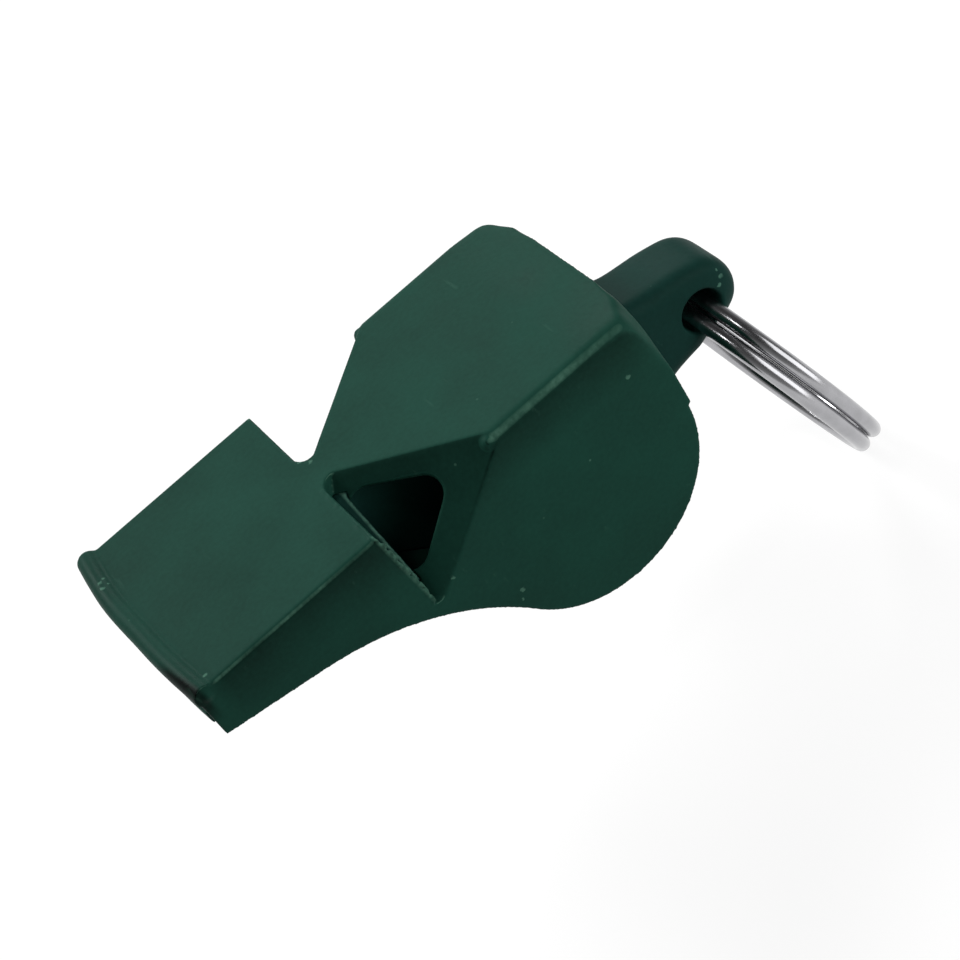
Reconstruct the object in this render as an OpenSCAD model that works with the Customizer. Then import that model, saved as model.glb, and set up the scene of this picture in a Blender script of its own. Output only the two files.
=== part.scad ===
// Pealess sports whistle: a box-shaped mouthpiece that runs into a round sound drum, with a
// three-cornered sound window cut across each upper edge, a lanyard ear and a split ring.
// The origin is on the flat top, in the middle of the line where the two blowing slots end.
// +X runs back to the ear, +Y runs across the body and +Z runs up. All lengths are millimetres.

/* [Body] */
// Width of the body across its two flat sides
body_w = 21.6; // [20:0.1:23]
// Length of the mouthpiece, from its front corners to the blowing slots
mouth_len = 17.9; // [16:0.1:20]
// How far the mouthpiece's front edge bows out at its middle
mouth_bow = 0.7; // [0.5:0.05:1.2]
// Height of the mouthpiece at its front corners
tip_h = 4.8; // [4.5:0.1:5.4]
// Fall of the mouthpiece's underside, in degrees
floor_fall = 11.1; // [9:0.1:13]
// Radius of the round drum
drum_r = 10.5; // [9.8:0.1:10.8]
// How far the drum stands in from the back wall above it
drum_ledge = 0.3; // [0.1:0.05:0.6]
// Depth of the drum's axis below the flat top
drum_drop = 11.1; // [10.4:0.1:12]
// Distance from the blowing slots back to the flat back wall above the drum
back_len = 26.3; // [25.5:0.1:27]
// Radius of the hollow throat between the mouthpiece and the drum
throat_r = 25; // [20:0.5:28]
// How far the dome that rounds the back corners stands outside their upright edges
dome_clear = 0.03; // [0.02:0.01:0.2]
// Depth of the dome's centre below the flat top
dome_drop = 8; // [5:0.1:9]
// Radius along the top edges of the drum
drum_ridge_r = 1.1; // [0.6:0.1:1.4]
// Radius along the top edges of the mouthpiece
mouth_ridge_r = 0.5; // [0.3:0.1:1]

/* [Bead on the mouthpiece] */
// Radius of the round bead along the front edge
bead_r = 1; // [0.8:0.05:1.2]
// Height of the bead above the flat top
bead_rise = 0.4; // [0.2:0.05:0.5]
// How far the lips of the mouthpiece stand back under the bead
lip_back = 0.2; // [0.1:0.05:0.5]

/* [Walls] */
// Thickness of the roof
roof_t = 1.45; // [1.2:0.05:1.6]
// Thickness of the two side walls
side_t = 1.85; // [1.5:0.05:2.1]
// Thickness of the back wall
back_t = 1.85; // [1.5:0.05:2.2]
// Radius of the two long upper corners of the room inside
room_corner_r = 2.6; // [1.5:0.1:2.9]
// Thickness of the base cover
base_t = 1.2; // [1:0.05:1.4]
// Thickness of the upright walls inside
web_t = 1; // [0.8:0.05:1.2]
// Clear width of the middle air lane
mid_lane_w = 3.6; // [3:0.1:4.2]
// Welding gap left around the core and the base cover
weld_gap = 0.05; // [0.03:0.01:0.1]

/* [Sound windows] */
// How far the slanting face of a window recess aims past the underside, at the blowing slot
recess_past = 0.14; // [0:0.02:0.4]
// Width of the strip of side wall left between a recess and the underside, at the blowing slot
recess_rim = 1.1; // [0.8:0.1:1.6]
// Length of a window recess along the top edge
recess_len = 12.6; // [11:0.1:14]
// Width of the bridge left between the two recesses
bridge_w = 3.2; // [2.6:0.1:4]
// Radius of a recess's two front corners, at the bridge and above the underside
bridge_corner_r = 1.2; // [0.6:0.1:1.6]
// Thickness of the slanting wall around a window
frame_t = 1; // [0.7:0.1:1.4]
// Distance from the slot back to the window's round tip
window_tip = 6.8; // [6:0.1:7.2]
// Radius of that tip
window_tip_r = 1.5; // [1:0.1:2]
// Half of the window's greatest width, across the slant
window_half = 3.8; // [3.2:0.1:4]
// Distance from the slot back to the window's widest place
window_wide_at = 1.8; // [1.5:0.1:2.4]
// Radius of the window's two wide corners
window_side_r = 1.5; // [1:0.1:1.8]
// How far the window lies above the middle of the recess, across the slant
window_up = 0.4; // [0:0.1:0.6]
// Number of steps in each round corner of the window
window_steps = 8; // [6:1:12]
// Height of the slanting blowing slots
slot_h = 0.7; // [0.5:0.05:0.9]
// Length of the lip that carries the air across the window's front edge
lip_len = 1; // [0.6:0.1:1.4]
// Height of the middle blowing slot, over the base cover
mid_slot_h = 0.7; // [0.5:0.05:0.9]
// Length of the middle window, in the base cover
mid_window_len = 4; // [3:0.1:5]

/* [Air lanes and chambers] */
// Distance from the mouthpiece's front corners back to the front of the core
core_setback = 0.6; // [0.3:0.1:1.5]
// Distance from the slots forward to where the lanes start to narrow
lane_taper = 12; // [9:0.5:14]
// Straight length of the lanes just ahead of the slots
lane_straight = 1; // [0.6:0.1:2]
// Distance from the slots back to the end wall of the near side chamber
near_chamber = 21; // [19:0.1:22]
// Distance from the slots back to the end wall of the far side chamber
far_chamber = 19.6; // [18:0.1:22]
// Distance from the slots back to the end of the middle chamber
mid_chamber = 17.6; // [15:0.1:20]

/* [Ear] */
// Thickness of the ear
ear_t = 6.8; // [6:0.1:7.4]
// Distance from the back wall back to the centre of the ear's round end
ear_reach = 7.6; // [7.2:0.1:9]
// Depth of that centre below the flat top
ear_end_drop = 11; // [10.4:0.1:11.4]
// Radius of the ear's round end
ear_end_r = 3.1; // [3:0.1:3.5]
// Slope of the ear's upper edge, in degrees
ear_top_slope = 15; // [10:0.5:17]
// Slope of the ear's lower edge, in degrees
ear_low_slope = 14; // [10:0.5:16]
// Radius along the ear's edges
ear_edge_r = 1.3; // [0.6:0.1:1.5]
// Number of steps in the rounding of the ear's edges
ear_edge_steps = 3; // [2:1:4]
// Distance of the ring hole ahead of the centre of the ear's round end
hole_ahead = 0.7; // [0.4:0.1:1.2]
// Distance of the ring hole below the centre of the ear's round end
hole_below = 0.5; // [0.2:0.1:0.6]
// Width of the bevel around each mouth of the ring hole
hole_bevel = 0.15; // [0.1:0.05:0.3]

/* [Split ring] */
// Radius of the ring, to the middle of its wire
ring_r = 11.5; // [10.5:0.1:12.5]
// Diameter of the steel wire
wire_d = 1.25; // [1:0.05:1.3]
// Distance between the two turns of wire, middle to middle
turn_pitch = 1.7; // [1.6:0.05:1.8]
// How far the top of the ring hangs below the middle of the ear's hole
ring_drop = 0.35; // [0.1:0.05:0.4]
// Play of the wire in the ear's hole
ring_play = 0.14; // [0.12:0.01:0.2]
// Swing of the ring back from straight down, in degrees
ring_swing = 17; // [0:1:60]
// Place of the wire's crossing around the ring, in degrees from the ear
crossing_at = 74; // [50:1:130]
// Half of the stretch in which the wire crosses over, in degrees
crossing_half = 25; // [20:1:30]
// Number of straight steps along the wire
wire_steps = 84; // [60:2:120]
// Number of flat sides around the wire
wire_sides = 12; // [8:2:16]

/* [Hidden] */
$fn = 96;
green = [0.12, 0.27, 0.23];
dark_green = [0.09, 0.20, 0.17];
steel = [0.75, 0.76, 0.78];
near = -1;
far = 1;

// One overrun for every cut, and a depth that is below all of the body
over = 1;
deep = drum_drop + drum_r + over;
half_w = body_w / 2;

// Side view: the drum, the sloping underside of the mouthpiece, and between them the throat,
// an arc that leaves the underside and meets the drum smoothly
drum_back = back_len - drum_ledge - drum_r;
drum_c = [drum_back, -drum_drop];
dome_r = norm([back_len - drum_back, half_w]) + dome_clear;
front_foot = [-mouth_len, -tip_h];
fall_dir = [cos(floor_fall), -sin(floor_fall)];
down_dir = [-sin(floor_fall), -cos(floor_fall)];
to_start = front_foot + throat_r * down_dir - drum_c;
along_fall = fall_dir * to_start;
throat_run = -along_fall - sqrt(along_fall * along_fall - to_start * to_start + pow(drum_r + throat_r, 2));
throat_c = drum_c + to_start + throat_run * fall_dir;
throat_start = throat_c - throat_r * down_dir;
to_throat = (throat_c - drum_c) / norm(throat_c - drum_c);

// Top view: the front edge is one wide arc through both front corners and the bowed middle
mouth_reach = mouth_len + mouth_bow;
front_r = (half_w * half_w + mouth_bow * mouth_bow) / (2 * mouth_bow);
front_c = front_r - mouth_reach;

// Room inside the shell, and the core that fits in it
inner_half = half_w - side_t;
core_half = inner_half - weld_gap;
core_top = -roof_t - weld_gap;
core_low = base_t + weld_gap;
core_front = core_setback - mouth_len;
core_back = back_len - back_t - weld_gap;
web_in = mid_lane_w / 2;
web_out = web_in + web_t;

// Slant depths, measured square to a window's face, from the sharp upper corner of the body.
// A recess reaches as far across the top as down the side, to the underside below the slots.
// The lip ends where the window's face starts, and the slot lies on top of the lip.
throat_floor = throat_c[1] + throat_r * sin(acos(throat_c[0] / throat_r));
slot_floor = throat_start[0] < 0 ? throat_floor : floor_at(0, 0);
recess_reach = recess_past - slot_floor;
recess_slant = recess_reach / sqrt(2);
lip_slant = recess_slant * (1 - lip_len / recess_len);
slot_slant = lip_slant - slot_h;
mouth_slant = (side_t + roof_t) / sqrt(2);
ramp_slant = (half_w - web_out - floor_at(-lane_taper, base_t)) / sqrt(2);
deep_slant = half_w + deep;

// Ring hole: as wide as both turns of the bent wire need, with play all round
ear_end_back = back_len + ear_reach;
hole_x = ear_end_back - hole_ahead;
hole_z = -ear_end_drop - hole_below;
wire_r = wire_d / 2;
ring_bend = ring_r - sqrt(ring_r * ring_r - ear_t * ear_t / 4);
hole_r = norm([turn_pitch / 2, ring_drop + ring_bend]) + wire_r + ring_play;
ring_hang = ring_r + ring_drop;

// Middle line of the ring's wire, by the degrees wound from its first end to its last. The wire
// lies flat for almost a turn, crosses over in a smooth curve, and lies flat for as long again.
all_wound = 720 - 2 * crossing_half;
wound_step = all_wound / wire_steps;
function crossed(wound) = max(0, min(1, (wound - 360 + 2 * crossing_half) / (2 * crossing_half)));
function wire_out(wound) = [cos(-crossing_half - wound), sin(-crossing_half - wound), 0];
function wire_at(wound) =
    ring_r * wire_out(wound) - [0, 0, cos(180 * crossed(wound)) * turn_pitch / 2];
wire_points = [for (i = [0 : wire_steps]) wire_at(i * wound_step)];
apart = ceil(4 * wire_d / (ring_r * wound_step * PI / 180));
turn_gap = min([
    for (i = [0 : len(wire_points) - 1 - apart]) for (j = [i + apart : len(wire_points) - 1])
        norm(wire_points[i] - wire_points[j])
]) - wire_d;
echo(str("Least gap between the turns of the split ring: ", turn_gap, " mm"));

// Height of the underside's straight line at a distance from the slots, drawn in by an inset
function floor_at(x, inset) =
    let (foot = front_foot - inset * down_dir) foot[1] - (x - foot[0]) * tan(floor_fall);

// Side view of the body, drawn in by an inset along its underside and its drum
module side_view(inset, top, front, back) {
    difference() {
        union() {
            polygon([
                [front, top],
                [back, top],
                [back, -drum_drop],
                drum_c,
                drum_c + (drum_r - inset) * to_throat,
                throat_start - inset * down_dir,
                [front, floor_at(front, inset)]
            ]);
            translate(drum_c) circle(r = drum_r - inset);
        }
        intersection() {
            translate(throat_c) circle(r = throat_r + inset, $fn = 240);
            polygon([throat_c, throat_c - 2 * throat_r * down_dir, throat_c - 2 * throat_r * to_throat]);
        }
    }
}

// Side view of the core, which clears the shell and the base cover by the welding gap
module core_view() {
    intersection() {
        side_view(core_low, core_top, core_front, core_back);
        translate([core_front, -deep]) square([core_back - core_front, deep]);
    }
}

// Top view of the body, with its bowed front edge drawn back by a given amount
module top_view(drawn_back) {
    intersection() {
        translate([front_c, 0]) circle(r = front_r - drawn_back, $fn = 360);
        translate([-mouth_reach - over, -half_w]) square([mouth_reach + back_len + 2 * over, body_w]);
    }
}

// Front view of a block with round top edges
module ridge_view(r) {
    translate([-half_w, -deep]) square([body_w, deep - r]);
    translate([r - half_w, -deep]) square([body_w - 2 * r, deep]);
    for (side = [near, far]) {
        translate([side * (half_w - r), -r]) circle(r = r);
    }
}

// Front view of the room inside the shell, drawn in by a gap, with its two round upper corners
module room_view(gap) {
    corner_r = room_corner_r - gap;
    half_room = inner_half - gap;
    translate([-half_room, -deep - over]) square([2 * half_room, deep + over - roof_t - room_corner_r]);
    translate([corner_r - half_room, -deep - over])
        square([2 * (half_room - corner_r), deep + over - roof_t - gap]);
    for (side = [near, far]) {
        translate([side * (half_room - corner_r), -roof_t - room_corner_r]) circle(r = corner_r);
    }
}

// Pulls a side view, drawn in x and z, across the width
module across(from_y, to_y) {
    translate([0, to_y, 0]) rotate([90, 0, 0]) linear_extrude(height = to_y - from_y) children();
}

// Pulls a front view, drawn in y and z, along the body
module along(from_x, to_x) {
    rotate([90, 0, 90]) translate([0, 0, from_x]) linear_extrude(height = to_x - from_x) children();
}

// Pulls a view drawn in x and slant depth square to it, over one upper corner of the body
module slanting(side) {
    translate([0, side * half_w, 0]) rotate([-side * 45, 0, 0]) across(-deep_slant, deep_slant) children();
}

// A cut or block on one side of the body, between two distances from the middle
module beside(side, from_y, to_y) {
    if (side == near) {
        across(-to_y, -from_y) children();
    } else {
        across(from_y, to_y) children();
    }
}

// Dome that rounds the two back corners, and leaves the body alone ahead of the drum's middle
module back_dome() {
    translate([drum_back, 0, -dome_drop]) sphere(r = dome_r);
    translate([drum_back, 0, -deep]) cylinder(r = dome_r, h = deep - dome_drop);
    translate([-mouth_reach - over, -half_w - over, -deep])
        cube([mouth_reach + over + drum_back, body_w + 2 * over, deep + over]);
}

// Outside of the whole body, as if it were solid
module body_outside() {
    bead_drop = bead_r - bead_rise;
    intersection() {
        across(-half_w, half_w) side_view(0, 0, -mouth_reach, back_len);
        union() {
            along(-mouth_reach - over, 0) ridge_view(mouth_ridge_r);
            along(0, back_len + over) ridge_view(drum_ridge_r);
        }
        union() {
            translate([0, 0, -deep]) linear_extrude(height = deep - bead_drop) top_view(lip_back);
            translate([0, 0, -deep]) linear_extrude(height = deep + over) top_view(bead_r);
        }
        back_dome();
    }
}

// Round bead along the front edge of the top
module bead() {
    spread = asin(half_w / front_r);
    intersection() {
        translate([front_c, 0, bead_rise - bead_r]) rotate([0, 0, 180 - 2 * spread])
            rotate_extrude(angle = 4 * spread, $fn = 720)
                translate([front_r - bead_r, 0]) circle(r = bead_r, $fn = 48);
        across(-half_w, half_w)
            translate([-mouth_reach - over, -tip_h]) square([mouth_reach, tip_h + over]);
    }
}

// Corner cut of one sound window: a slanting face from the slot's two ends to a point on the ridge
module recess(side) {
    intersection() {
        slanting(side) polygon([
            [0, -recess_slant],
            [2 * recess_len, recess_slant],
            [0, recess_slant]
        ]);
        translate([0, 0, -deep]) linear_extrude(height = deep + over)
            scale([1, side]) recess_plan(bridge_w / 2);
        across(-half_w - over, half_w + over) recess_plan(recess_rim + slot_floor);
    }
}

// Top or side view of a recess above an edge, with a round corner between the edge and the slot
module recess_plan(edge) {
    translate([bridge_corner_r, edge]) square([recess_len, deep]);
    translate([0, edge + bridge_corner_r]) square([recess_len, deep]);
    translate([bridge_corner_r, edge + bridge_corner_r]) circle(r = bridge_corner_r);
}

// Slanting wall behind a recess, which closes the corner of the room around the window
module window_frame(side) {
    intersection() {
        slanting(side) polygon([
            [lip_len + weld_gap, 0],
            [lip_len + weld_gap, -lip_slant - frame_t],
            [recess_len, -frame_t],
            [recess_len, 0]
        ]);
        beside(side, web_out + weld_gap, half_w - side_t / 2)
            translate([0, -deep]) square([recess_len, deep - roof_t / 2]);
    }
}

// Points of a round corner, from one direction to another
function corner_points(centre, r, from_angle, to_angle) = [
    for (i = [0 : window_steps])
        centre + r * [
            cos(from_angle + (to_angle - from_angle) * i / window_steps),
            sin(from_angle + (to_angle - from_angle) * i / window_steps)
        ]
];

// The window: a round-cornered triangle, cut square to the body's corner behind the lip
module window(side) {
    low = [window_wide_at, window_up - window_half + window_side_r];
    high = [window_wide_at, window_up + window_half - window_side_r];
    tip = [window_tip - window_tip_r, window_up];
    apart = high - tip;
    turn = atan2(-apart[0], apart[1]) - asin((window_side_r - window_tip_r) / norm(apart));
    reach = lip_slant + frame_t + over;
    translate([0, side * half_w, 0]) rotate([-side * 45, 0, 0])
        translate([0, 0, -reach]) linear_extrude(height = reach) scale([1, -side])
            intersection() {
                polygon(concat(
                    corner_points(tip, window_tip_r, -turn, turn),
                    corner_points(high, window_side_r, turn, 180),
                    corner_points(low, window_side_r, 180, 360 - turn)
                ));
                translate([lip_len, -deep]) square([recess_len, 2 * deep]);
            }
}

// Filled upper corner ahead of one slanting slot, which narrows the air lane from outside
module lane_corner(side) {
    intersection() {
        slanting(side) polygon([
            [-lane_taper, -mouth_slant],
            [-lane_straight, -slot_slant],
            [0, -slot_slant],
            [0, 0],
            [-lane_taper, 0]
        ]);
        beside(side, web_out + weld_gap, half_w - side_t / 2)
            translate([-lane_taper, -deep]) square([lane_taper, deep - roof_t / 2]);
    }
}

// Ramp and lip under one slanting slot, which narrow the air lane from inside
module lane_ramp(side) {
    intersection() {
        slanting(side) polygon([
            [-lane_taper, -ramp_slant],
            [-lane_straight, -lip_slant],
            [lip_len, -lip_slant],
            [lip_len, -deep_slant],
            [-lane_taper, -deep_slant]
        ]);
        beside(side, web_in, core_half) core_view();
    }
}

// Block over the middle slot, which leads the middle lane's air down along the base cover
module mid_ramp() {
    across(-web_out, web_out) intersection() {
        side_view(base_t + mid_slot_h, core_top, core_front, core_back);
        polygon([
            [-lane_taper, core_top],
            [-lane_straight, -deep],
            [0, -deep],
            [0, core_top]
        ]);
    }
}

// End wall of one side chamber
module chamber_end(side, distance) {
    beside(side, web_in, core_half) intersection() {
        core_view();
        translate([distance, -deep]) square([web_t, deep]);
    }
}

// Side view of the ear, drawn in by an inset, from its root to its round end
module ear_view(inset, root) {
    r = ear_end_r - inset;
    run = ear_end_back - root;
    translate([ear_end_back, -ear_end_drop]) {
        circle(r = r);
        polygon([
            [0, 0],
            r * [sin(ear_top_slope), cos(ear_top_slope)],
            [-run, r / cos(ear_top_slope) + run * tan(ear_top_slope)],
            [-run, -r / cos(ear_low_slope) - run * tan(ear_low_slope)],
            r * [sin(ear_low_slope), -cos(ear_low_slope)]
        ]);
    }
}

// Ear with round edges all along its outline, as plates that grow thinner towards the edge
module ear() {
    hull() {
        for (lean = [0 : 90 / ear_edge_steps : 90]) {
            half_t = ear_t / 2 - ear_edge_r * (1 - cos(lean));
            across(-half_t, half_t) ear_view(ear_edge_r * (1 - sin(lean)), core_back - back_t, $fn = 40);
        }
    }
}

// Hole for the split ring, with a bevel round each mouth
module ring_hole() {
    translate([hole_x, 0, hole_z]) rotate([90, 0, 0]) {
        cylinder(r = hole_r, h = ear_t + 2 * over, center = true);
        for (turn = [0, 180]) {
            rotate([turn, 0, 0]) translate([0, 0, ear_t / 2 - hole_bevel])
                cylinder(r1 = hole_r, r2 = hole_r + hole_bevel + over, h = hole_bevel + over);
        }
    }
}

// Opening through the back of the body that the ear stands in
module ear_slot() {
    across(-ear_t / 2 - weld_gap, ear_t / 2 + weld_gap) ear_view(-weld_gap, drum_back);
}

// Outer moulding: roof, two sides, back wall and the outside of the mouthpiece
module body_shell() {
    color(green) difference() {
        union() {
            difference() {
                union() {
                    body_outside();
                    bead();
                }
                intersection() {
                    along(-mouth_reach - over, back_len + over) room_view(0);
                    across(-half_w, half_w) polygon([
                        [-mouth_reach - over, over],
                        [back_len - back_t, over],
                        [back_len - back_t, -drum_drop],
                        [back_len + over, -drum_drop],
                        [back_len + over, -deep - over],
                        [-mouth_reach - over, -deep - over]
                    ]);
                }
            }
            lane_corner(near);
            lane_corner(far);
            window_frame(near);
            window_frame(far);
        }
        recess(near);
        recess(far);
        window(near);
        window(far);
        ear_slot();
    }
}

// Inner moulding: two upright walls that part the three air lanes, the ramps and end walls of
// those lanes, and the spine that carries the ear
module chamber_core() {
    color(dark_green) difference() {
        union() {
            difference() {
                for (side = [near, far]) {
                    beside(side, web_in, web_out) core_view();
                }
                recess(near);
                recess(far);
            }
            intersection() {
                union() {
                    lane_ramp(near);
                    lane_ramp(far);
                    chamber_end(near, near_chamber);
                    chamber_end(far, far_chamber);
                }
                along(core_front, core_back) room_view(weld_gap);
            }
            mid_ramp();
            across(-ear_t / 2, ear_t / 2) intersection() {
                core_view();
                translate([mid_chamber, -deep]) square([core_back - mid_chamber, deep]);
            }
            ear();
        }
        ring_hole();
    }
}

// Thin wall that follows the underside of the body, within a given outline
module base_wall(outline) {
    across(-core_half, core_half) intersection() {
        difference() {
            side_view(0, 0, -mouth_reach, back_len);
            side_view(base_t, over, -mouth_reach - over, back_len + over);
        }
        polygon(outline);
    }
}

// Underside: mouthpiece floor and hollow throat, which run on into the lower drum on the line
// through both arcs' centres, with the middle lane's window and room for the ear
module base_cover() {
    joint = drum_c + 2 * drum_r * to_throat;
    front = -mouth_reach - over;
    back = back_len + over;
    color(green) difference() {
        intersection() {
            union() {
                base_wall([drum_c, joint, [front, -2 * deep], [front, 0], [drum_back, 0]]);
                base_wall([drum_c, joint, [0, -2 * deep], [back, -2 * deep], [back, -drum_drop]]);
            }
            translate([0, 0, -deep]) linear_extrude(height = deep) top_view(lip_back);
        }
        translate([0, -web_in, -deep]) cube([mid_window_len, mid_lane_w, deep]);
        translate([drum_back, -half_w, -drum_drop - weld_gap]) cube([drum_r + over, body_w, drum_drop]);
        ear_slot();
    }
}

// Split ring: one length of steel wire wound twice round, crossing from its first turn to its second
module split_ring() {
    rings = len(wire_points);
    skin = [
        for (i = [0 : rings - 1]) for (k = [0 : wire_sides - 1])
            let (lean = 360 * k / wire_sides, out = wire_out(i * wound_step))
            wire_points[i] + wire_r * (cos(lean) * out + [0, 0, sin(lean)])
    ];
    walls = [
        for (i = [0 : rings - 2]) for (k = [0 : wire_sides - 1])
            let (a = i * wire_sides + k, b = i * wire_sides + (k + 1) % wire_sides)
            each [[a, b + wire_sides, b], [a, a + wire_sides, b + wire_sides]]
    ];
    last = (rings - 1) * wire_sides;
    ends = [for (k = [1 : wire_sides - 2]) each [[0, k, k + 1], [last, last + k + 1, last + k]]];
    color(steel) translate([hole_x + ring_hang * sin(ring_swing), 0, hole_z - ring_hang * cos(ring_swing)])
        rotate([0, 90 - ring_swing, 0]) rotate([0, 0, 180 - crossing_at])
            polyhedron(points = skin, faces = concat(walls, ends), convexity = 6);
}

body_shell();
chamber_core();
base_cover();
split_ring();
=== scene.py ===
import math
import random
import bpy
import numpy as np
from mathutils import Euler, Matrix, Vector


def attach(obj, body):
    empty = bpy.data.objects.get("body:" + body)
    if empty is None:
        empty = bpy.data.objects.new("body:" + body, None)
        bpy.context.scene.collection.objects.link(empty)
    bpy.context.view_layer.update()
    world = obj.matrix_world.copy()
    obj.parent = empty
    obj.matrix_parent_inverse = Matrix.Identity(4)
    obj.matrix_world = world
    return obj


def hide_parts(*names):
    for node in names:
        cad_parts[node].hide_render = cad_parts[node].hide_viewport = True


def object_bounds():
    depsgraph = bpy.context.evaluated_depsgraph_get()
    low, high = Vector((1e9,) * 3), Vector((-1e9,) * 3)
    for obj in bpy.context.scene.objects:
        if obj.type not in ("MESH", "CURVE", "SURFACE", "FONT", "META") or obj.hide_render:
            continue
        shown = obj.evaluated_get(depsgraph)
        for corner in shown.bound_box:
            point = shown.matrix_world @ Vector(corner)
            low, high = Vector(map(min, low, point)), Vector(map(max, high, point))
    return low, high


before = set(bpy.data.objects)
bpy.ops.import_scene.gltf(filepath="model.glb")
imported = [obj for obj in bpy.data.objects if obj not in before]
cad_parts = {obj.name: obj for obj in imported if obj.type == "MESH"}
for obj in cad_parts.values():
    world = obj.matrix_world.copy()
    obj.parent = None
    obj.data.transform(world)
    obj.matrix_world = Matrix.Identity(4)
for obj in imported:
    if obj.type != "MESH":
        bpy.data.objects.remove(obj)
cad_low, cad_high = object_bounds()

# Viewpoint: the whistle is looked down on from its near front corner, from about 18 cm away,
# through a long lens. The place and the turn were fitted to the straight edges of the mouldings.
bpy.ops.object.select_all(action="DESELECT")
bpy.ops.object.camera_add(location=(-0.01331, -0.14103, 0.11586))
camera = bpy.context.object
camera.rotation_mode = "QUATERNION"
camera.rotation_quaternion = (0.844574, 0.398155, 0.089245, -0.346702)
camera.data.lens = 88.515
camera.data.sensor_width = 36
camera.data.clip_start = 0.005
camera.data.clip_end = 20
bpy.context.scene.camera = camera
bpy.context.scene.view_settings.view_transform = "Standard"

# Floor: a wide sheet of white card just below the hanging ring. It looks white to the eye and to
# shiny metal, throws little light back on the plastic, and keeps the faint shadow of the whistle.
gap_under_ring = 0.0004
card_glow = 0.86
bpy.ops.mesh.primitive_plane_add(size=4, location=(0, 0, cad_low.z - gap_under_ring))
floor = bpy.context.object
floor.name = "white_card"
card = bpy.data.materials.new("white_card")
card.use_nodes = True
nodes, links = card.node_tree.nodes, card.node_tree.links
shader = nodes["Principled BSDF"]
shader.inputs["Base Color"].default_value = (0.2, 0.2, 0.2, 1)
shader.inputs["Roughness"].default_value = 0.9
shader.inputs["Specular IOR Level"].default_value = 0
shader.inputs["Emission Color"].default_value = (1, 1, 1, 1)
path = nodes.new("ShaderNodeLightPath")
seen = nodes.new("ShaderNodeMath")
seen.operation = "MAXIMUM"
through = nodes.new("ShaderNodeMath")
through.operation = "MAXIMUM"
glow = nodes.new("ShaderNodeMath")
glow.operation = "MULTIPLY"
glow.inputs[1].default_value = card_glow
links.new(path.outputs["Is Camera Ray"], seen.inputs[0])
links.new(path.outputs["Is Glossy Ray"], seen.inputs[1])
links.new(seen.outputs[0], through.inputs[0])
links.new(path.outputs["Is Transmission Ray"], through.inputs[1])
links.new(through.outputs[0], glow.inputs[0])
links.new(glow.outputs[0], shader.inputs["Emission Strength"])
floor.data.materials.append(card)

# Room: white where the camera looks at it, and a soft grey for light and reflections,
# darker overhead, so that the plating of the ring shows light and dark bands.
grey_low, grey_overhead = 0.42, 0.06
room = bpy.data.worlds.new("grey_room")
room.use_nodes = True
bpy.context.scene.world = room
nodes, links = room.node_tree.nodes, room.node_tree.links
sky = nodes["Background"]
sky.inputs["Color"].default_value = (1, 1, 1, 1)
path = nodes.new("ShaderNodeLightPath")
seen = nodes.new("ShaderNodeMath")
seen.operation = "MAXIMUM"
towards = nodes.new("ShaderNodeTexCoord")
parts = nodes.new("ShaderNodeSeparateXYZ")
height = nodes.new("ShaderNodeMapRange")
height.inputs["From Min"].default_value = 0
height.inputs["From Max"].default_value = 0.8
height.inputs["To Min"].default_value = grey_low
height.inputs["To Max"].default_value = grey_overhead
level = nodes.new("ShaderNodeMix")
level.inputs["B"].default_value = 1
links.new(path.outputs["Is Camera Ray"], seen.inputs[0])
links.new(path.outputs["Is Transmission Ray"], seen.inputs[1])
links.new(towards.outputs["Generated"], parts.inputs[0])
links.new(parts.outputs["Z"], height.inputs["Value"])
links.new(seen.outputs[0], level.inputs["Factor"])
links.new(height.outputs["Result"], level.inputs["A"])
links.new(level.outputs["Result"], sky.inputs["Strength"])

# Lamps: a window behind on the left, which lights everything that faces up, a lamp close by on
# the near right for the near side, a panel behind for the sheen at the rear, and a small lamp
# overhead that draws the bright lines along the ring's wire. Each has a place, a size and watts.
middle_of_whistle = Vector((0.008, 0, -0.01))
for name, place, size, power in (
    ("window_behind", (-0.2, 0.42, 0.38), 0.2, 2.45),
    ("near_lamp", (0.1, -0.1, 0.035), 0.11, 0.085),
    ("panel_behind", (0.25, 0.44, 0.32), 0.24, 1.2),
    ("lamp_above", (-0.09, -0.12, 0.46), 0.07, 0.17),
):
    bpy.ops.object.light_add(type="AREA", location=place)
    lamp = bpy.context.object
    lamp.name = name
    lamp.data.shape = "SQUARE"
    lamp.data.size = size
    lamp.data.energy = power
    lamp.rotation_mode = "QUATERNION"
    lamp.rotation_quaternion = (middle_of_whistle - Vector(place)).to_track_quat("-Z", "Y")

# Outer moulding: the roof, side walls and back wall, with the bead along the mouthpiece.
# It is one piece of dark green plastic out of a steel mould, with soft edges, a bead that
# runs out in round ends, and flash left standing along the lips of the recesses.
mm = 0.001
merge_within = 2e-6


def node_copy(node, name):
    bpy.ops.object.select_all(action="DESELECT")
    piece = bpy.data.objects.new(name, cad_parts[node].data.copy())
    bpy.context.scene.collection.objects.link(piece)
    bpy.context.view_layer.objects.active = piece
    piece.select_set(True)
    bpy.ops.object.mode_set(mode="EDIT")
    bpy.ops.mesh.select_all(action="SELECT")
    bpy.ops.mesh.remove_doubles(threshold=merge_within)
    bpy.ops.object.mode_set(mode="OBJECT")
    return piece


def lump(place, radii, turn=(0, 0, 0)):
    # Place and radii are in millimetres, the turn in radians.
    at = [mm * v for v in place]
    bpy.ops.mesh.primitive_ico_sphere_add(subdivisions=3, radius=mm, location=at)
    bit = bpy.context.object
    bit.scale = radii
    bit.rotation_euler = turn
    bpy.ops.object.transform_apply(location=True, rotation=True, scale=True)
    return bit


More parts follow.
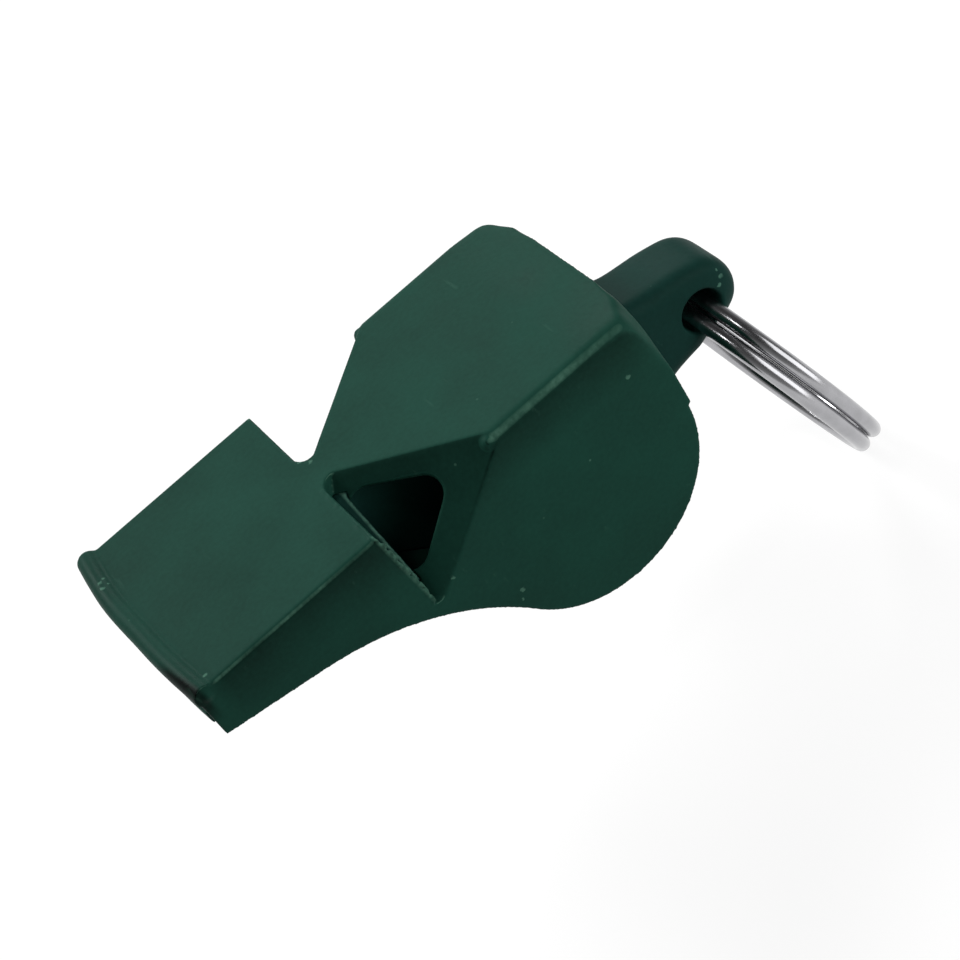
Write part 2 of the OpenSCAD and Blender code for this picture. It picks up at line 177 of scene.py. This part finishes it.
def joined(piece, bits):
    bpy.ops.object.select_all(action="DESELECT")
    for bit in bits:
        bit.select_set(True)
    piece.select_set(True)
    bpy.context.view_layer.objects.active = piece
    bpy.ops.object.join()


def remade(piece, grain, rounds):
    # The mesh is turned out of line with its own grid while it is made anew, so that
    # straight edges come out straight, not stepped.
    aslant = Euler((0.5, 0.35, 0.4)).to_matrix().to_4x4()
    piece.data.transform(aslant)
    bpy.ops.object.select_all(action="DESELECT")
    bpy.context.view_layer.objects.active = piece
    piece.select_set(True)
    skin = piece.modifiers.new("skin", "REMESH")
    skin.mode = "VOXEL"
    skin.voxel_size = grain
    bpy.ops.object.modifier_apply(modifier="skin")
    soft = piece.modifiers.new("soft_edges", "SMOOTH")
    soft.factor = 0.5
    soft.iterations = rounds
    bpy.ops.object.modifier_apply(modifier="soft_edges")
    piece.data.transform(aslant.inverted())


def ramp(value, low, high):
    t = np.clip((value - low) / (high - low), 0, 1)
    return t * t * (3 - 2 * t)


def places(piece):
    # Every point of the mesh, in millimetres.
    flat = np.empty(3 * len(piece.data.vertices))
    piece.data.vertices.foreach_get("co", flat)
    return 1000 * flat.reshape(-1, 3)


def softened(piece, share, rounds):
    # Smooths where share(x, y, z) is above 0, the more the nearer it is to 1, in eight levels.
    weights = share(*places(piece).T)
    group = piece.vertex_groups.new(name="soft")
    for level in range(1, 9):
        near = np.flatnonzero(np.ceil(8 * weights) == level)
        group.add([int(i) for i in near], level / 8, "REPLACE")
    soft = piece.modifiers.new("soft_place", "SMOOTH")
    soft.vertex_group = "soft"
    soft.factor = 0.5
    soft.iterations = rounds
    bpy.ops.object.modifier_apply(modifier="soft_place")
    piece.vertex_groups.clear()


def moved(piece, shift):
    now = places(piece)
    now += np.stack([np.broadcast_to(v, len(now)) for v in shift(*now.T)], axis=1)
    piece.data.vertices.foreach_set("co", mm * now.ravel())
    piece.data.update()


def finished(piece, triangles, mat):
    few = piece.modifiers.new("fewer", "DECIMATE")
    few.ratio = min(1, triangles / (2 * len(piece.data.polygons)))
    bpy.ops.object.modifier_apply(modifier="fewer")
    bpy.ops.object.shade_smooth()
    piece.data.materials.clear()
    piece.data.materials.append(mat)


# The plastic is one group of nodes for all three mouldings: a slow mottle in the green, fine
# grain from the mould, sparse pale specks, faint scuffs, small pale chips, a green that darkens
# towards the front, painted shade below the ridges, in the recesses and below the bead, and painted
# highlights along the ridges (partly wear), on the windows' lips and on the ledges' edges.
plastic = bpy.data.node_groups.new("moulded_plastic", "ShaderNodeTree")
for name, kind in (("Green", "Color"), ("Pale", "Color"), ("Ridges", "Float")):
    plastic.interface.new_socket(name, in_out="INPUT", socket_type="NodeSocket" + kind)
for name, kind in (("Color", "Color"), ("Roughness", "Float"), ("Height", "Float")):
    plastic.interface.new_socket(name, in_out="OUTPUT", socket_type="NodeSocket" + kind)
links = plastic.links


def add(kind):
    return plastic.nodes.new("ShaderNode" + kind)


def noise(scale, detail):
    texture = add("TexNoise")
    texture.inputs["Scale"].default_value = scale
    texture.inputs["Detail"].default_value = detail
    return texture


def mapped(value, low, high, out_low, out_high):
    node = add("MapRange")
    node.inputs["From Min"].default_value = low
    node.inputs["From Max"].default_value = high
    node.inputs["To Min"].default_value = out_low
    node.inputs["To Max"].default_value = out_high
    links.new(value, node.inputs["Value"])
    return node.outputs["Result"]


def worked(kind, first, *others):
    # One Math node for each value after the first.
    so_far = first
    for other in others:
        node = add("Math")
        node.operation = kind
        for slot, value in enumerate((so_far, other)):
            if isinstance(value, (int, float)):
                node.inputs[slot].default_value = value
            else:
                links.new(value, node.inputs[slot])
        so_far = node.outputs[0]
    return so_far


def times(*values):
    return worked("MULTIPLY", *values)


def plus(*values):
    return worked("ADD", *values)


def less(first, second):
    return worked("SUBTRACT", first, second)


def most(*values):
    return worked("MAXIMUM", *values)


def unsigned(value):
    return worked("ABSOLUTE", value, 0)


def split(vector):
    node = add("SeparateXYZ")
    links.new(vector, node.inputs[0])
    return node.outputs[0], node.outputs[1], node.outputs[2]


given = plastic.nodes.new("NodeGroupInput")
result = plastic.nodes.new("NodeGroupOutput")
where = add("TexCoord")
slow_noise = noise(140, 4)
fine_noise = noise(2400, 3)
scuff_noise = noise(1, 5)
speck = add("TexVoronoi")
speck.inputs["Scale"].default_value = 330
stretch = add("Mapping")
stretch.inputs["Scale"].default_value = (900, 160, 500)
stretch.inputs["Rotation"].default_value = (0.3, 0.2, 0.7)
for texture in (slow_noise, fine_noise, speck, stretch):
    links.new(where.outputs["Object"], texture.inputs["Vector"])
links.new(stretch.outputs[0], scuff_noise.inputs["Vector"])
slow, fine, scuff = slow_noise.outputs[0], fine_noise.outputs[0], scuff_noise.outputs[0]
place_x, place_y, place_z = split(where.outputs["Object"])
face_x, face_y, face_z = split(where.outputs["Normal"])
outward = unsigned(place_y)
tilt = times(unsigned(face_y), face_z)

# Chips: small pale marks with ragged edges, each with its place and width in millimetres. One of
# them, at the near end of the bead, is a painted highlight: the bright end of the bead's highlight.
wander = 0.0006
ragged = add("VectorMath")
ragged.operation = "MULTIPLY_ADD"
ragged.inputs[1].default_value = (wander, wander, wander)
links.new(fine_noise.outputs["Color"], ragged.inputs[0])
links.new(where.outputs["Object"], ragged.inputs[2])
chips_and_glint = 0
for x, y, z, wide in (
    (22.9, -10.8, -4.6, 0.24),
    (2.9, -10.8, -8.2, 0.22),
    (6.7, -10.8, -14.1, 0.22),
    (6.3, -10.8, -14.9, 0.16),
    (0.2, 1.9, 0, 0.2),
    (0.8, 1.1, 0, 0.2),
    (-17.6, 6.4, 0.3, 0.26),
    (-17.7, 5.7, 0.3, 0.26),
    (-17.1, 6.7, 0.4, 0.26),
    (-16.95, 5.9, 0.3, 0.22),
    # Painted highlight: the bright end of the bead's highlight, at its near end.
    (-16, -9.6, 0, 0.24),
    (36, -3.2, -9.9, 0.28),
    (35.5, -3.3, -10.5, 0.22),
    (36, -3, -9.2, 0.2),
):
    far = add("VectorMath")
    far.operation = "DISTANCE"
    far.inputs[1].default_value = [mm * v + wander / 2 for v in (x, y, z)]
    links.new(ragged.outputs[0], far.inputs[0])
    chips_and_glint = most(chips_and_glint, mapped(far.outputs["Value"], 0.5 * mm * wide, mm * wide, 0.85, 0))

# Darker places: painted shade below the side ridges, high up on the slanting faces of the recesses
# and below the near end of the bead, and a green that darkens towards the front on faces that look up.
mottle = plus(mapped(slow, 0.35, 0.65, -0.1, 0.1), mapped(fine, 0.3, 0.7, -0.06, 0.06))
# Painted shade: a darker band on the side walls just below the ridges.
painted_shade_below_ridges = times(
    mapped(place_z, -0.0048, -0.0008, 0, 1),
    mapped(outward, 0.01055, 0.01072, 0, 0.5),
    mapped(place_x, -0.0165, -0.015, 0, 1),
)
# The green darkens towards the front, on faces that look up.
darker_to_front = times(mapped(place_x, -0.0175, -0.004, 0.17, 0), mapped(face_z, 0.3, 0.9, 0, 1))
# Painted shade high up on the slanting faces of the recesses.
painted_recess_shade = times(
    mapped(face_x, -0.42, -0.3, 1, 0),
    mapped(tilt, 0.3, 0.35, 0, 1),
    mapped(place_z, -0.004, -0.0004, 0.04, 0.4),
)
# Painted shade on the front face below the near end of the bead, where the bead shades it.
painted_shade_below_bead = times(
    mapped(less(times(place_y, -0.2), place_x), 0.01895, 0.01935, 0, 0.72),
    mapped(place_y, -0.007, -0.0045, 1, 0),
    mapped(place_z, -0.0035, -0.0015, 0, 1),
)
# Mottle, less the painted shade and the darker front.
tone_and_painted_shade = less(plus(1, mottle), plus(painted_shade_below_ridges, plus(darker_to_front, painted_recess_shade, painted_shade_below_bead)))
shaded = add("VectorMath")
shaded.operation = "SCALE"
links.new(given.outputs["Green"], shaded.inputs[0])
links.new(tone_and_painted_shade, shaded.inputs["Scale"])

# Paler places: a painted highlight along the ridges, partly wear, and a painted highlight on the
# windows' lips where the flash stands, both on the outer moulding alone, a painted highlight on the
# edges of the inner moulding's ledges, and the specks, scuffs and chips on all three.
# Painted highlight along the side ridges, partly wear.
ridge_highlight_and_wear = times(
    mapped(tilt, 0.4, 0.5, 0, 1), mapped(fine, 0.3, 0.7, 0.45, 0.95), mapped(slow, 0.4, 0.58, 0.35, 1.1)
)
lip_lean = 0.0893
from_lip = unsigned(less(plus(place_x, times(place_z, lip_lean)), 0.00003))
# Painted highlight along the windows' side lips, where the flash stands.
lip_highlight = times(
    mapped(from_lip, 0.0001, 0.00034, 0.9, 0),
    mapped(place_z, -0.009, -0.0084, 0, 1),
    mapped(outward, 0.0101, 0.0104, 0, 1),
    mapped(fine, 0.35, 0.65, 0.35, 1),
)
outer_only = times(most(ridge_highlight_and_wear, lip_highlight), given.outputs["Ridges"])
ledge_edge = 0.0009
# Painted highlight along the edges of the inner moulding's ledges.
ledge_highlight = times(
    mapped(unsigned(less(place_x, ledge_edge)), 0.00008, 0.00024, 0.9, 0),
    mapped(face_z, 0.35, 0.6, 0, 1),
    mapped(fine, 0.35, 0.65, 0.5, 1),
    less(1, given.outputs["Ridges"]),
)
specks = times(mapped(speck.outputs["Distance"], 0.02, 0.05, 1, 0), mapped(slow, 0.5, 0.62, 0, 0.7))
scuffs = mapped(scuff, 0.68, 0.8, 0, 0.2)
tinted = add("Mix")
tinted.data_type = "RGBA"
links.new(most(specks, chips_and_glint, scuffs, outer_only, ledge_highlight), tinted.inputs["Factor"])
links.new(shaded.outputs[0], tinted.inputs[6])
links.new(given.outputs["Pale"], tinted.inputs[7])
links.new(tinted.outputs[2], result.inputs["Color"])
links.new(plus(mapped(slow, 0.3, 0.7, 0.44, 0.56), times(scuffs, 0.3)), result.inputs["Roughness"])
links.new(plus(fine, times(scuffs, 0.6)), result.inputs["Height"])


def green_plastic(name, green, pale, ridges):
    mat = bpy.data.materials.new(name)
    mat.use_nodes = True
    nodes, links = mat.node_tree.nodes, mat.node_tree.links
    shader = nodes["Principled BSDF"]
    shader.inputs["Specular IOR Level"].default_value = 0.05
    shader.inputs["Specular Tint"].default_value = (0.7, 1, 0.9, 1)
    surface = nodes.new("ShaderNodeGroup")
    surface.node_tree = plastic
    surface.inputs["Green"].default_value = green
    surface.inputs["Pale"].default_value = pale
    surface.inputs["Ridges"].default_value = ridges
    grain = nodes.new("ShaderNodeBump")
    grain.inputs["Strength"].default_value = 0.35
    grain.inputs["Distance"].default_value = 0.00003
    links.new(surface.outputs["Color"], shader.inputs["Base Color"])
    links.new(surface.outputs["Roughness"], shader.inputs["Roughness"])
    links.new(surface.outputs["Height"], grain.inputs["Height"])
    links.new(grain.outputs["Normal"], shader.inputs["Normal"])
    return mat


# The bead's two round ends and the fill in the recesses' inner corners come first, then the
# burrs down the near window's side lip, and those along its top lip.
outer = node_copy("body_shell", "outer_moulding")
random.seed(4)
flash = [
    lump((-16.9, 10.45, -0.58), (0.96, 1.05, 0.96)),
    lump((-16.95, -10.0, -0.62), (0.96, 0.98, 0.98)),
    lump((11.3, -10.02, -0.86), (0.66, 0.69, 0.69)),
    lump((11.3, 10.02, -0.86), (0.66, 0.69, 0.69)),
]
side_burrs, top_burrs = 26, 24
for step in range(side_burrs):
    along = step / side_burrs + random.uniform(-0.01, 0.01)
    across = random.uniform(-0.12, 0.12)
    size = random.uniform(0.1, 0.24)
    place = (0.05 + 0.2 * along + across, -10.78, -0.3 - 8.4 * along)
    flash.append(lump(place, (size, size * 0.8, 1.6 * size)))
for step in range(top_burrs):
    across = random.uniform(-0.1, 0.1)
    size = random.uniform(0.07, 0.17)
    place = (-0.2 + across, -2.6 - 8 * step / top_burrs, -0.02)
    flash.append(lump(place, (size, 1.8 * size, size * 0.7)))
joined(outer, flash)
remade(outer, 0.00012, 8)


def outer_shift(x, y, z):
    far_bead = -0.3 * ramp(-x, 14, 16.5) * ramp(y, -2, 6)
    near_post = (
        0.4 * np.clip((10.8 + y) / 3.8, 0, 1) * ramp(-y, 6, 7.4) * ramp(-x, 16.6, 17.3) * ramp(-z, 1.1, 1.7)
    )
    window_lip = (
        0.5 * ramp(abs(y), 9.2, 9.8) * ramp(x, -3, -0.3) * (1 - ramp(x, 0.28, 0.6))
        * ramp(-z, 0.3, 8) * ramp(z, -9.3, -8.5)
    )
    rear_corner = (
        0.95 * ramp(abs(y), 7.2, 10) * ramp(x, 20, 22.8) * (1 - ramp(x, 23.8, 26.8)) * ramp(z, -6.5, -1.5)
    )
    roof_end = -0.35 * ramp(x, 20.5, 28) * ramp(z, -3, -0.5)
    return far_bead + near_post + window_lip + rear_corner, 0, roof_end


def rear_corners(x, y, z):
    return ramp(x, 21.5, 24) * ramp(abs(y), 4.5, 7) * ramp(z, -7, -4.5)


moved(outer, outer_shift)
softened(outer, rear_corners, 170)
outer_green = green_plastic("outer_green", (0.0128, 0.0635, 0.0447, 1), (0.085, 0.21, 0.15, 1), 1)
finished(outer, 190000, outer_green)
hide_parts("body_shell")
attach(outer, "whistle")

# Inner moulding: the lanyard ear behind the drum, with the lips and lane walls inside.
# It is moulded in one piece and pushed in from below before the base cover is welded on.
# The ear is rounded all over and has crumbs of flash where it leaves the drum.
inner = node_copy("chamber_core", "inner_moulding")
hole_x, hole_z = 33.2, -11.5
crumbs = [
    lump((27.1, 3.2, -6.5), (0.4, 0.3, 0.22), (0.3, 0.2, 0.5)),
    lump((28.3, 3.3, -6.75), (0.22, 0.14, 0.2), (0.1, 0.6, 0.2)),
    lump((27.7, -3.35, -8.1), (0.32, 0.16, 0.2), (0.4, 0.1, 0.9)),
    lump((28.3, -3.35, -9.6), (0.16, 0.14, 0.34), (0.2, 0.5, 0.1)),
    lump((27.9, -3.35, -12.3), (0.26, 0.2, 0.4), (0.1, 0.3, 0.4)),
]
joined(inner, crumbs)
remade(inner, 0.00012, 8)


def ear_edges(x, y, z):
    return ramp(x, 28, 29.5) * ramp(np.hypot(x - hole_x, z - hole_z), 2.3, 2.9)


def ear_growth(x, y, z):
    # Smoothing draws the ear in, so its rim is put back by 0.4 mm, away from the hole.
    away = np.hypot(x - hole_x, z - hole_z)
    share = 0.4 * ramp(x, 28, 33) * ramp(away, 2.3, 3.2) / away
    return share * (x - hole_x), 0, share * (z - hole_z)


softened(inner, ear_edges, 110)
moved(inner, ear_growth)
inner_green = green_plastic("inner_green", (0.0085, 0.041, 0.0335, 1), (0.1, 0.24, 0.18, 1), 0)
finished(inner, 150000, inner_green)
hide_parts("chamber_core")
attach(inner, "whistle")

# Base cover: the thin curved underside, from the mouthpiece's floor to the lower drum.
# It is moulded in the same green as the outer moulding and welded to it all along its edge; its
# colour here is that green darkened a little, painted shade for the underside.
cover = node_copy("base_cover", "base_cover_moulding")
remade(cover, 0.00013, 8)
# Painted shade: the outer green and its pale, darkened a little for the underside.
cover_green_painted_shade = green_plastic("cover_green_painted_shade", (0.0115, 0.056, 0.041, 1), (0.06, 0.14, 0.11, 1), 0)
finished(cover, 110000, cover_green_painted_shade)
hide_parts("base_cover")
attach(cover, "whistle")

# Split ring: one length of plated spring-steel wire, wound twice round. Its turns lie close
# together, its ends lie side by side, and the wire crosses over once on the far half.
# Sizes are in millimetres and angles in degrees.
ring_r = 11.5
half_pitch = 0.75
wire_r = 0.7
crossing_at = 74
crossing_half = 25
hang = Vector((36.665, 0, -22.83))
lean = 17
steps = 280
sides = 24
wound_in_all = 720 - 2 * crossing_half
hung = Euler((0, math.radians(90 - lean), 0)).to_matrix()
verts, faces = [], []
for i in range(steps + 1):
    wound = i / steps * wound_in_all
    crossed = max(0, min(1, (wound - 360 + 2 * crossing_half) / (2 * crossing_half)))
    at = math.radians(180 - crossing_at - crossing_half - wound)
    out = Vector((math.cos(at), math.sin(at), 0))
    middle = ring_r * out - Vector((0, 0, math.cos(math.pi * crossed) * half_pitch))
    for k in range(sides):
        turn = 2 * math.pi * k / sides
        ring_point = middle + wire_r * (math.cos(turn) * out + math.sin(turn) * Vector((0, 0, 1)))
        verts.append(mm * (hang + hung @ ring_point))
for i in range(steps):
    for k in range(sides):
        a, b = i * sides + k, i * sides + (k + 1) % sides
        faces.append((a, b, b + sides, a + sides))
faces.append(tuple(range(sides - 1, -1, -1)))
faces.append(tuple(steps * sides + k for k in range(sides)))
tube = bpy.data.meshes.new("wire_ring")
tube.from_pydata(verts, [], faces)
ring = bpy.data.objects.new("wire_ring", tube)
bpy.context.scene.collection.objects.link(ring)
bpy.ops.object.select_all(action="DESELECT")
bpy.context.view_layer.objects.active = ring
ring.select_set(True)
bpy.ops.object.mode_set(mode="EDIT")
bpy.ops.mesh.select_all(action="SELECT")
bpy.ops.mesh.normals_make_consistent(inside=False)
bpy.ops.object.mode_set(mode="OBJECT")
bpy.ops.object.shade_smooth_by_angle(angle=0.9)
chrome = bpy.data.materials.new("plated_steel")
chrome.use_nodes = True
nodes, links = chrome.node_tree.nodes, chrome.node_tree.links
shader = nodes["Principled BSDF"]
shader.inputs["Metallic"].default_value = 1
where = nodes.new("ShaderNodeTexCoord")
haze = nodes.new("ShaderNodeTexNoise")
haze.inputs["Scale"].default_value = 500
haze.inputs["Detail"].default_value = 4
links.new(where.outputs["Object"], haze.inputs["Vector"])
shade = nodes.new("ShaderNodeMix")
shade.data_type = "RGBA"
shade.inputs[6].default_value = (0.3, 0.3, 0.31, 1)
shade.inputs[7].default_value = (0.5, 0.5, 0.52, 1)
links.new(haze.outputs[0], shade.inputs["Factor"])
links.new(shade.outputs[2], shader.inputs["Base Color"])
dull = nodes.new("ShaderNodeMapRange")
dull.inputs["To Min"].default_value = 0.12
dull.inputs["To Max"].default_value = 0.3
links.new(haze.outputs[0], dull.inputs["Value"])
links.new(dull.outputs["Result"], shader.inputs["Roughness"])
ring.data.materials.append(chrome)
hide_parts("split_ring")
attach(ring, "ring")
